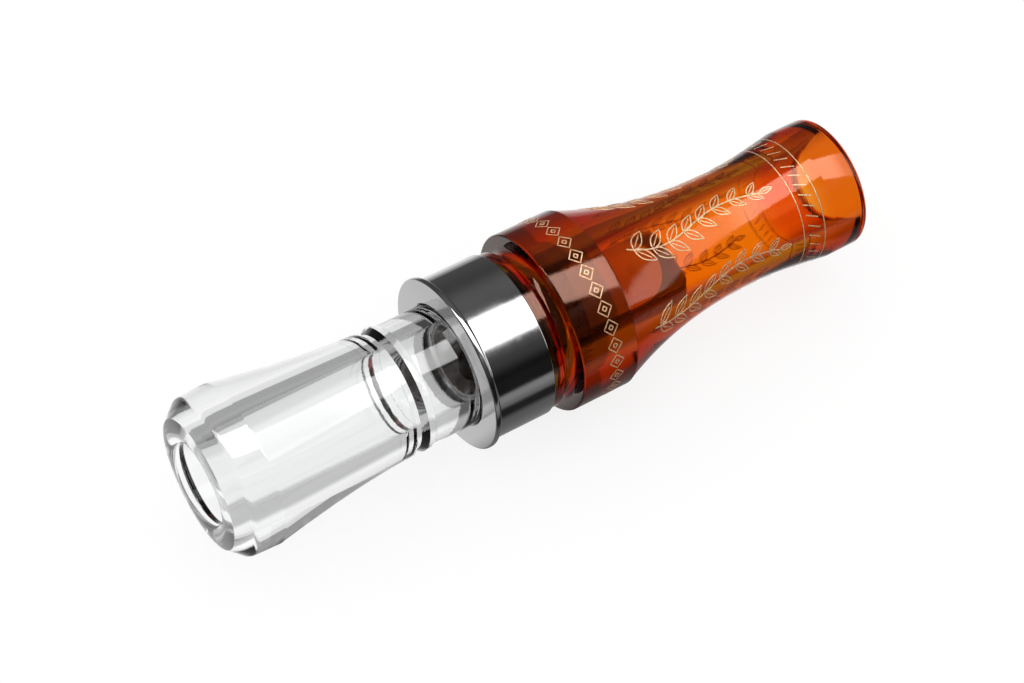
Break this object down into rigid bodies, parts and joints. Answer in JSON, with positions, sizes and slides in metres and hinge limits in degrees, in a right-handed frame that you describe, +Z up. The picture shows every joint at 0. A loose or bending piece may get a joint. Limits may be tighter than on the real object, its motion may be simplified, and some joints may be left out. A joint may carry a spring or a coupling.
{
  "type": "bird call",
  "caption": "Hand-held double reed bird call: a clear bell insert with reeds on a tone board plugs into an amber barrel with a metal band and a waisted mouthpiece.",
  "frame": {"origin": "centre of the bounding box's underside, below the call's own axis at the middle of its length", "axes": "+X along the call's axis from the bell to the mouthpiece, +Z up through the reeds, the axis 17 mm above the origin"},
  "size_m": [0.1324, 0.034, 0.034],
  "materials": {
    "amber_acrylic": "polished transparent amber acrylic",
    "polished_metal": "mirror-polished nickel-plated ring",
    "clear_acrylic": "polished water-clear acrylic",
    "board_plastic": "dark smoke-brown moulded plastic, fine satin facing",
    "reed_film": "milky polyester film",
    "wedge_cork": "fine-grained natural cork",
    "seal_rubber": "smooth black nitrile rubber"
  },
  "bodies": {
    "barrel": {"barrel": "amber_acrylic", "band": "polished_metal"},
    "seals": {"front_o_ring": "seal_rubber", "rear_o_ring": "seal_rubber"},
    "insert": {"insert": "clear_acrylic", "tone_board": "board_plastic", "wedge": "wedge_cork"},
    "reeds": {"long_reed": "reed_film", "short_reed": "reed_film"}
  },
  "joints": [
    {"name": "insert_pull", "type": "slide", "parent": "barrel", "child": "seals", "axis": [-1, 0, 0], "range_m": [0, 0.053]},
    {"name": "insert_turn", "type": "hinge", "parent": "seals", "child": "insert", "pos_m": [0, 0, 0.017], "axis": [1, 0, 0], "continuous": true},
    {"name": "reed_flex", "type": "hinge", "parent": "insert", "child": "reeds", "pos_m": [0.00675, 0, 0.018], "axis": [0, 1, 0], "range_deg": [0, 2.5], "stiffness_Nm_per_rad": 0.02, "springref_deg": -0.57}
  ]
}
